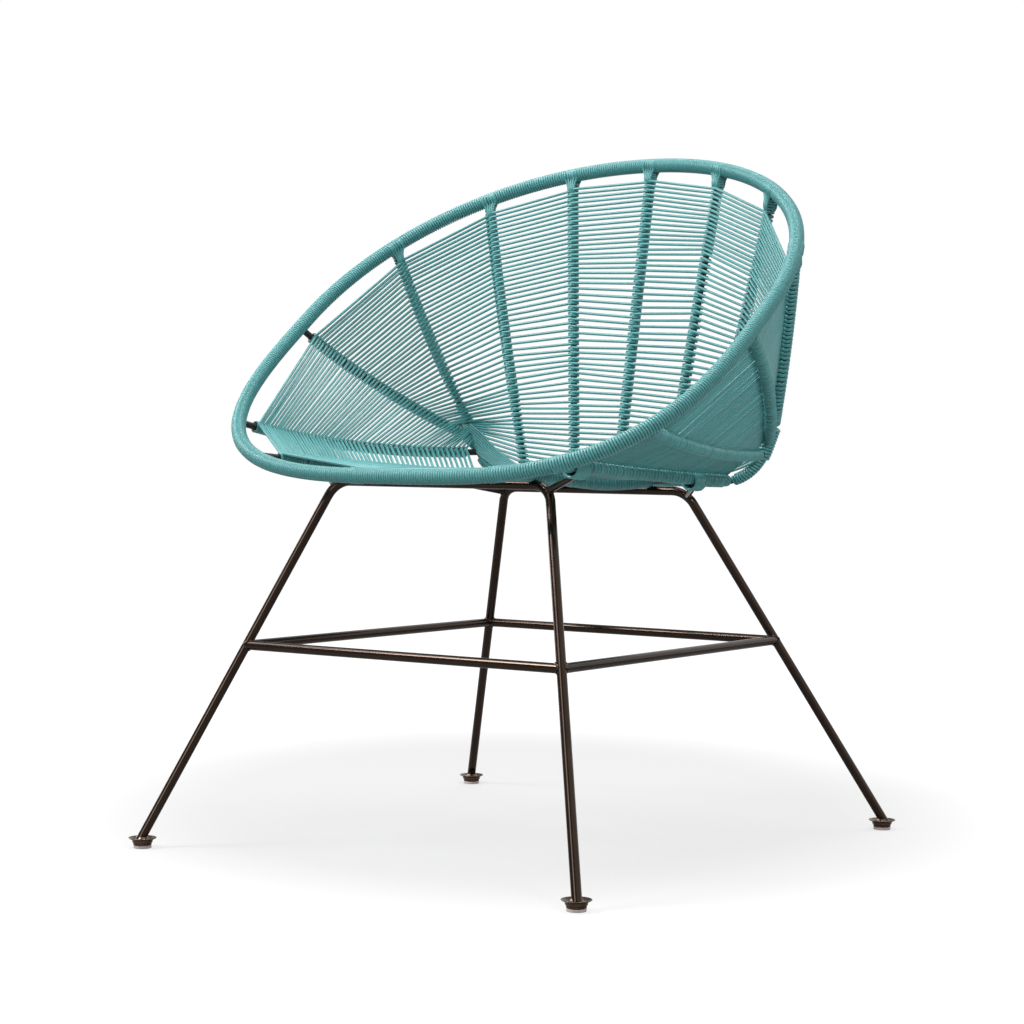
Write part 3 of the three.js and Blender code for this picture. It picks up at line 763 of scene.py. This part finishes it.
def material_of(kind):
    """One of the chair's finishes, made once and then shared."""
    name = {"cord": "extruded vinyl cord, teal",
            "frame_paint": "powder coat, dark bronze",
            "core_rod": "baked black paint on rod",
            "pad": "moulded soft plastic, pale",
            "cup": "powder coat, lightened for painted reflection"}[kind]
    made = bpy.data.materials.get(name)
    if made:
        return made
    colours = bpy.context.scene.chair_colours
    if kind == "cord":
        return cord_material(name, colours)
    if kind == "pad":
        return pad_material(name, colours)
    # Painted reflection: a lighter, rougher copy of the bronze coat for the cups' pale flanges
    if kind == "cup":
        return coated_material(name, colours.cup, speck=1.2 * MM, rough_low=0.18, rough_high=0.4,
                               metallic=0.85, depth=0.08 * MM)
    if kind == "frame_paint":
        return coated_material(name, colours.frame, speck=0.9 * MM, rough_low=0.1, rough_high=0.16,
                               metallic=0.85, depth=0.02 * MM)
    return coated_material(name, colours.core, speck=0.6 * MM, rough_low=0.42, rough_high=0.58,
                           metallic=0.2, depth=0.05 * MM)


def studio_floor(colour):
    """The studio floor. For the camera it glows, with a painted shade, a soft grey pool that fades to white,
    and it shows the chair's shadow.
    """
    work = bmesh.new()
    bmesh.ops.create_grid(work, x_segments=1, y_segments=1, size=FLOOR_SIZE)
    mesh = bpy.data.meshes.new("studio_floor")
    work.to_mesh(mesh)
    work.free()
    material, tree, output = start_material("studio floor with painted shade pool")
    seen = add_node(tree, "ShaderNodeLightPath").outputs["Is Camera Ray"]
    place = add_node(tree, "ShaderNodeTexCoord").outputs["Object"]
    pool = add_node(tree, "ShaderNodeMapping", {"vector_type": "TEXTURE"}, {
        "Vector": place, "Location": POOL_CENTRE, "Rotation": (0, 0, VIEW_AZIMUTH), "Scale": POOL_SIZE})
    far = add_node(tree, "ShaderNodeVectorMath", {"operation": "LENGTH"}, {0: pool.outputs[0]})
    # Painted shade: the glow that the camera sees is dimmed to a grey pool round the chair
    painted_pool_shade = smooth_step(tree, far.outputs["Value"], (POOL_FADE, 1.0), (POOL_LEVEL, 1.0))
    glow = add_node(tree, "ShaderNodeEmission", inputs={"Strength": painted_pool_shade})
    faint = add_node(tree, "ShaderNodeBsdfDiffuse", inputs={"Color": [POOL_SHADE] * 3 + [1]})
    shown = add_node(tree, "ShaderNodeAddShader", inputs={0: glow.outputs[0], 1: faint.outputs[0]})
    matt = add_node(tree, "ShaderNodeBsdfDiffuse", inputs={"Color": linear(colour)})
    both = add_node(tree, "ShaderNodeMixShader", inputs={0: seen, 1: matt.outputs[0], 2: shown.outputs[0]})
    tree.links.new(both.outputs[0], output.inputs[0])
    mesh.materials.append(material)
    return link("studio_floor", mesh)


def studio_world():
    """White for the camera, and a dimmer, even light for the rest. Only what glossy surfaces reflect has a
    form: the strip box draws the bright streak along each rod."""
    world = bpy.data.worlds.new("studio")
    world.use_nodes = True
    tree = world.node_tree
    tree.nodes.clear()
    path = add_node(tree, "ShaderNodeLightPath")
    heading = add_node(tree, "ShaderNodeTexCoord").outputs["Generated"]
    side = add_node(tree, "ShaderNodeVectorMath", {"operation": "DOT_PRODUCT"}, {
        0: heading, 1: (math.cos(VIEW_AZIMUTH), math.sin(VIEW_AZIMUTH), 0)}).outputs["Value"]
    off = add_node(tree, "ShaderNodeMath", {"operation": "ADD"}, {0: side, 1: STRIP_PLACE})
    gap = add_node(tree, "ShaderNodeMath", {"operation": "ABSOLUTE"}, {0: off.outputs[0]})
    strip = smooth_step(tree, gap.outputs[0], STRIP_EDGES, (STRIP_LEVEL, FLAG_LEVEL))
    broad = smooth_step(tree, side, SIDE_EDGES, (0.0, SIDE_LEVEL))
    boxes = add_node(tree, "ShaderNodeMath", {"operation": "ADD"}, {0: strip, 1: broad})
    soft = add_node(tree, "ShaderNodeMapRange", inputs={
        "Value": path.outputs["Is Glossy Ray"], "To Min": AMBIENT_LEVEL, "To Max": boxes.outputs[0]})
    level = add_node(tree, "ShaderNodeMapRange", inputs={
        "Value": path.outputs["Is Camera Ray"], "To Min": soft.outputs[0], "To Max": 1.0})
    sky = add_node(tree, "ShaderNodeBackground", inputs={
        "Color": (1, 1, 1, 1), "Strength": level.outputs[0]})
    add_node(tree, "ShaderNodeOutputWorld", inputs={"Surface": sky.outputs[0]})
    return world


def soft_lamp(name, place, size, power):
    """A square lamp that points at the middle of the chair."""
    data = bpy.data.lights.new(name, "AREA")
    data.shape = "SQUARE"
    data.size = size
    data.energy = power
    lamp = link(name, data)
    lamp.location = place
    lamp.rotation_euler = (Vector(LAMP_AIM) - lamp.location).to_track_quat("-Z", "Y").to_euler()


def photo_camera():
    """The camera where the photograph's one stood."""
    ahead = Vector((-math.sin(VIEW_AZIMUTH) * math.cos(VIEW_FALL),
                    math.cos(VIEW_AZIMUTH) * math.cos(VIEW_FALL),
                    -math.sin(VIEW_FALL)))
    right = Vector((math.cos(VIEW_AZIMUTH), math.sin(VIEW_AZIMUTH), 0))
    up = right.cross(ahead)
    turned_right = math.cos(VIEW_ROLL) * right + math.sin(VIEW_ROLL) * up
    turned_up = math.cos(VIEW_ROLL) * up - math.sin(VIEW_ROLL) * right
    data = bpy.data.cameras.new("photo_camera")
    data.sensor_width = CAMERA_SENSOR
    data.lens = CAMERA_LENS
    camera = link("photo_camera", data)
    camera.matrix_world = Matrix.Translation(CAMERA_PLACE) @ Matrix(
        (turned_right, turned_up, -ahead)).transposed().to_4x4()
    return camera


class CHAIR_OT_stage(bpy.types.Operator):
    """Sets up the floor, the soft lights and the camera."""

    bl_idname = "chair.stage"
    bl_label = "Stage"

    def execute(self, context):
        studio_floor(context.scene.chair_colours.floor)
        context.scene.world = studio_world()
        context.scene.view_settings.view_transform = "Standard"
        for lamp in LAMPS:
            soft_lamp(*lamp)
        context.scene.camera = photo_camera()
        return {"FINISHED"}


class CHAIR_OT_base(bpy.types.Operator):
    """Builds the leg frames, stretchers and standoffs with their weld beads."""

    bl_idname = "chair.base"
    bl_label = "Base rods"

    def execute(self, context):
        paint = material_of("frame_paint")
        joints = {}
        bends = {}
        for end_name, sizes in (("front", FRONT_FRAME), ("back", BACK_FRAME)):
            corners, _ = frame_corners(sizes)
            points = bent_run(corners, LEG_BEND_RADIUS, LEG_BEND_STEPS)
            piece = tube_piece(f"{end_name}_leg_rod", [points], LEG_RADIUS, LEG_SIDES)
            finish_piece(piece, paint, "frame_paint", f"{end_name}_leg_frame")
            left_end, left_corner, right_corner, right_end = corners
            share = (right_corner.z - STRETCHER_HEIGHT) / (right_corner.z - right_end.z)
            for side_name, corner, end in (("left", left_corner, left_end),
                                           ("right", right_corner, right_end)):
                joints[end_name, side_name] = corner.lerp(end, share), (end - corner).normalized()
            near = 1 + round(STANDOFF_START * LEG_BEND_STEPS)
            for side_name, k, step in (("left", near, 1), ("right", len(points) - 1 - near, -1)):
                bends[end_name, side_name] = points[k], (points[k + step] - points[k - step]).normalized()
        beads = []
        for name, one, other in (("front", ("front", "left"), ("front", "right")),
                                 ("back", ("back", "left"), ("back", "right")),
                                 ("left", ("front", "left"), ("back", "left")),
                                 ("right", ("front", "right"), ("back", "right"))):
            (start, start_leg), (end, end_leg) = joints[one], joints[other]
            way = (end - start).normalized()
            line = [start + way * ROD_START, start.lerp(end, 0.5), end - way * ROD_START]
            piece = tube_piece(f"{name}_stretcher_rod", [line], LEG_RADIUS, LEG_SIDES)
            finish_piece(piece, paint, "frame_paint", f"{name}_stretcher")
            beads.append(weld_ring(start, way, LEG_RADIUS, start_leg, LEG_RADIUS))
            beads.append(weld_ring(end, -way, LEG_RADIUS, end_leg, LEG_RADIUS))
        for (end_name, side_name), (start, bend) in bends.items():
            run = RIBS[STANDOFF_RIBS[side_name]]
            above = run.at(STANDOFF_SHARES[end_name, side_name] * run.length)
            rest = RIB_RADIUS + STANDOFF_RADIUS + SEAT_SPACE
            slope = math.atan2(above.z - start.z - rest, math.hypot(above.x - start.x, above.y - start.y))
            under = above - Vector((0, 0, rest / math.cos(slope)))
            way = (under - start).normalized()
            line = [start + way * ROD_START, under, under + way * STANDOFF_OVERRUN]
            name = f"{end_name}_{side_name}"
            piece = tube_piece(f"standoff_rod_{name}", [line], STANDOFF_RADIUS, STANDOFF_SIDES)
            finish_piece(piece, paint, "frame_paint", f"seat_standoff_{name}")
            beads.append(weld_ring(start, way, STANDOFF_RADIUS, bend, LEG_RADIUS))
        piece = tube_piece("weld_beads", beads, BEAD_RADIUS, closed=True)
        finish_piece(piece, paint, "frame_paint")
        return {"FINISHED"}


class CHAIR_OT_feet(bpy.types.Operator):
    """Turns the flanged cups and the pale pads under them."""

    bl_idname = "chair.feet"
    bl_label = "Feet"

    def execute(self, context):
        for end_name, sizes in (("front", FRONT_FRAME), ("back", BACK_FRAME)):
            _, foot = frame_corners(sizes)
            for side_name, side in (("left", -1), ("right", 1)):
                place = (side * foot.x, foot.y, 0)
                name = f"{end_name}_{side_name}"
                piece = spun_piece(f"cup_{name}", CUP_PROFILE, place)
                finish_piece(piece, material_of("cup"), "frame_paint", f"foot_cup_{name}")
                piece = spun_piece(f"pad_{name}", PAD_PROFILE, place)
                finish_piece(piece, material_of("pad"), "pad", f"foot_pad_{name}")
        return {"FINISHED"}


class CHAIR_OT_ribs(bpy.types.Operator):
    """Bends the rib rods, which show between the turns of their cord."""

    bl_idname = "chair.ribs"
    bl_label = "Ribs"

    def execute(self, context):
        for index, run in enumerate(RIBS):
            start, stop = HOOP_RADIUS / 2, run.length - BAR_RADIUS
            line = [run.at(start + (stop - start) * k / RIB_ROD_STEPS) for k in range(RIB_ROD_STEPS + 1)]
            piece = tube_piece(f"rib_rod_{index + 1:02d}", [line], RIB_RADIUS, CORE_SIDES)
            finish_piece(piece, material_of("core_rod"), "core_rod", f"rib_{index + 1:02d}")
        return {"FINISHED"}


class CHAIR_OT_rim(bpy.types.Operator):
    """Winds the rim hoop turn beside turn, and lays the fans of cord on the tops of the ribs."""

    bl_idname = "chair.rim"
    bl_label = "Rim winding"

    def execute(self, context):
        sizes = context.scene.chair_cord
        cord_radius = sizes.turn * RIM_CORD_SHARE
        radius = HOOP_RADIUS + cord_radius
        steps = round(RIM.length / sizes.turn) * RIM_TURN_STEPS
        line = []
        for k in range(steps):
            distance = RIM.length * k / steps
            outward = RIM.heading(distance).cross(RIM_NORMAL)
            turn = 2 * math.pi * k / RIM_TURN_STEPS
            line.append(RIM.at(distance) + radius * (RIM_NORMAL * math.cos(turn) + outward * math.sin(turn)))
        piece = tube_piece("rim_cord", [line], cord_radius, closed=True)
        finish_piece(piece, material_of("cord"), "cord", "rim_winding")
        hoop = [RIM.at(RIM.length * k / HOOP_STEPS) for k in range(HOOP_STEPS)]
        piece = tube_piece("rim_hoop_rod", [hoop], HOOP_RADIUS, CORE_SIDES, closed=True)
        finish_piece(piece, material_of("core_rod"), "core_rod", "rim_hoop")

        # A plain winding runs down each rib's top to its first row, with a fan over it where one was seen
        cords = []
        marks = row_marks(sizes)
        for index, run in enumerate(RIBS):
            if index in BARE_TOP_RIBS:
                continue
            cords.append(coil_points(run, TOP_COIL_START, marks[index][0] - TOP_COIL_SPACE,
                                     RIB_RADIUS + sizes.diameter / 2, sizes.diameter))
            if index not in COILED_TOP_RIBS:
                cords += [fan_cord(sizes, index, number, radius) for number in range(sizes.fan_cords)]
        piece = tube_piece("rib_top_fans", cords, sizes.diameter * FAN_CORD_SHARE)
        finish_piece(piece, material_of("cord"), "cord")
        return {"FINISHED"}


class CHAIR_OT_seat_bar(bpy.types.Operator):
    """Bends the seat bar, winds it, and lays the cords that gather at its two corners."""

    bl_idname = "chair.seat_bar"
    bl_label = "Seat bar"

    def execute(self, context):
        sizes = context.scene.chair_cord
        piece = tube_piece("seat_bar_rod", [BAR.points], BAR_RADIUS, CORE_SIDES)
        finish_piece(piece, material_of("core_rod"), "core_rod", "seat_bar")

        radius = BAR_RADIUS + sizes.diameter / 2
        lines = [coil_points(BAR, bar_place(start), bar_place(stop), radius, pitch * MM)
                 for start, stop, pitch in BAR_COILS]
        piece = tube_piece("seat_bar_cord", lines, sizes.diameter / 2)
        finish_piece(piece, material_of("cord"), "cord", "seat_bar_winding")

        cords = []
        for k in range(sizes.bundle_cords):
            share = k / (sizes.bundle_cords - 1)
            knots = [bundle_point(share, down) for down in range(len(BUNDLE_DEPTHS))]
            cords.append(smooth_run(knots, BUNDLE_STEPS))
        marks = row_marks(sizes)
        cords.append(coil_points(RIBS[0], marks[0][-1] + LOW_COIL_SPACE, RIBS[0].length - LOW_COIL_STOP,
                                 RIB_RADIUS + sizes.diameter / 2, sizes.diameter))
        for k in range(CORNER_STRANDS):
            lift = Vector(CORNER_STEP) * k * sizes.diameter
            cords.append(smooth_run([Vector(spot) * MM + lift for spot in CORNER_STRAND], BUNDLE_STEPS))
        # Cord binds each standoff's end to its rib
        drop = Vector((0, 0, BINDING_DROP))
        for (_, side_name), share in STANDOFF_SHARES.items():
            run = RIBS[STANDOFF_RIBS[side_name]]
            line = [run.at(share * run.length + BINDING_HALF * k / BINDING_STEPS) - drop
                    for k in range(-BINDING_STEPS, BINDING_STEPS + 1)]
            cords.append(coil_points(Run(line), 0, 2 * BINDING_HALF, BINDING_RADIUS, sizes.diameter))
        piece = tube_piece("corner_bundles", cords, sizes.diameter * BUNDLE_CORD_SHARE)
        finish_piece(piece, material_of("cord"), "cord")
        return {"FINISHED"}


class CHAIR_OT_panels(bpy.types.Operator):
    """Weaves the rows: each turns round a rib once or twice and goes on to the next rib."""

    bl_idname = "chair.panels"
    bl_label = "Woven panels"

    def execute(self, context):
        sizes = context.scene.chair_cord
        marks = row_marks(sizes)
        wraps = wrap_points(sizes, marks)
        for index in range(COUNT):
            following = (index + 1) % COUNT
            lines = []
            for row in range(sizes.rows):
                line = list(wraps[index][row])
                if row >= sizes.tip_rows and following == TIP_RIBS[0]:
                    # The long rows pass behind the short rib's end, and run on as the bundle
                    line.append(bundle_point(past_share(sizes, sizes.tip_rows, row), 0))
                else:
                    line.append(wraps[following][row][0])
                lines.append(line)
            piece = tube_piece(f"cord_rows_{index + 1:02d}", lines, sizes.diameter / 2)
            finish_piece(piece, material_of("cord"), "cord", f"woven_panel_{index + 1:02d}")
        return {"FINISHED"}


class CHAIR_PT_parts(bpy.types.Panel):
    """Lists the chair's pieces in the sidebar."""

    bl_label = "Woven bucket chair"
    bl_space_type = "VIEW_3D"
    bl_region_type = "UI"
    bl_category = "Chair"

    def draw(self, context):
        for operator in OPERATORS:
            self.layout.operator(operator.bl_idname)
        for group in (context.scene.chair_cord, context.scene.chair_colours):
            for name in group.__annotations__:
                self.layout.prop(group, name)


OPERATORS = (CHAIR_OT_stage, CHAIR_OT_base, CHAIR_OT_feet, CHAIR_OT_ribs, CHAIR_OT_rim, CHAIR_OT_seat_bar,
             CHAIR_OT_panels)
CLASSES = (ChairCordSizes, ChairColours) + OPERATORS + (CHAIR_PT_parts,)


def register():
    for entry in CLASSES:
        bpy.utils.register_class(entry)
    bpy.types.Scene.chair_cord = bpy.props.PointerProperty(type=ChairCordSizes)
    bpy.types.Scene.chair_colours = bpy.props.PointerProperty(type=ChairColours)


def unregister():
    del bpy.types.Scene.chair_colours
    del bpy.types.Scene.chair_cord
    for entry in reversed(CLASSES):
        bpy.utils.unregister_class(entry)


def main():
    """Builds the chair's pieces in order."""
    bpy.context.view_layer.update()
    register()
    bpy.ops.chair.stage()
    bpy.ops.chair.base()
    bpy.ops.chair.feet()
    bpy.ops.chair.ribs()
    bpy.ops.chair.rim()
    bpy.ops.chair.seat_bar()
    bpy.ops.chair.panels()


if __name__ == "__main__":
    main()
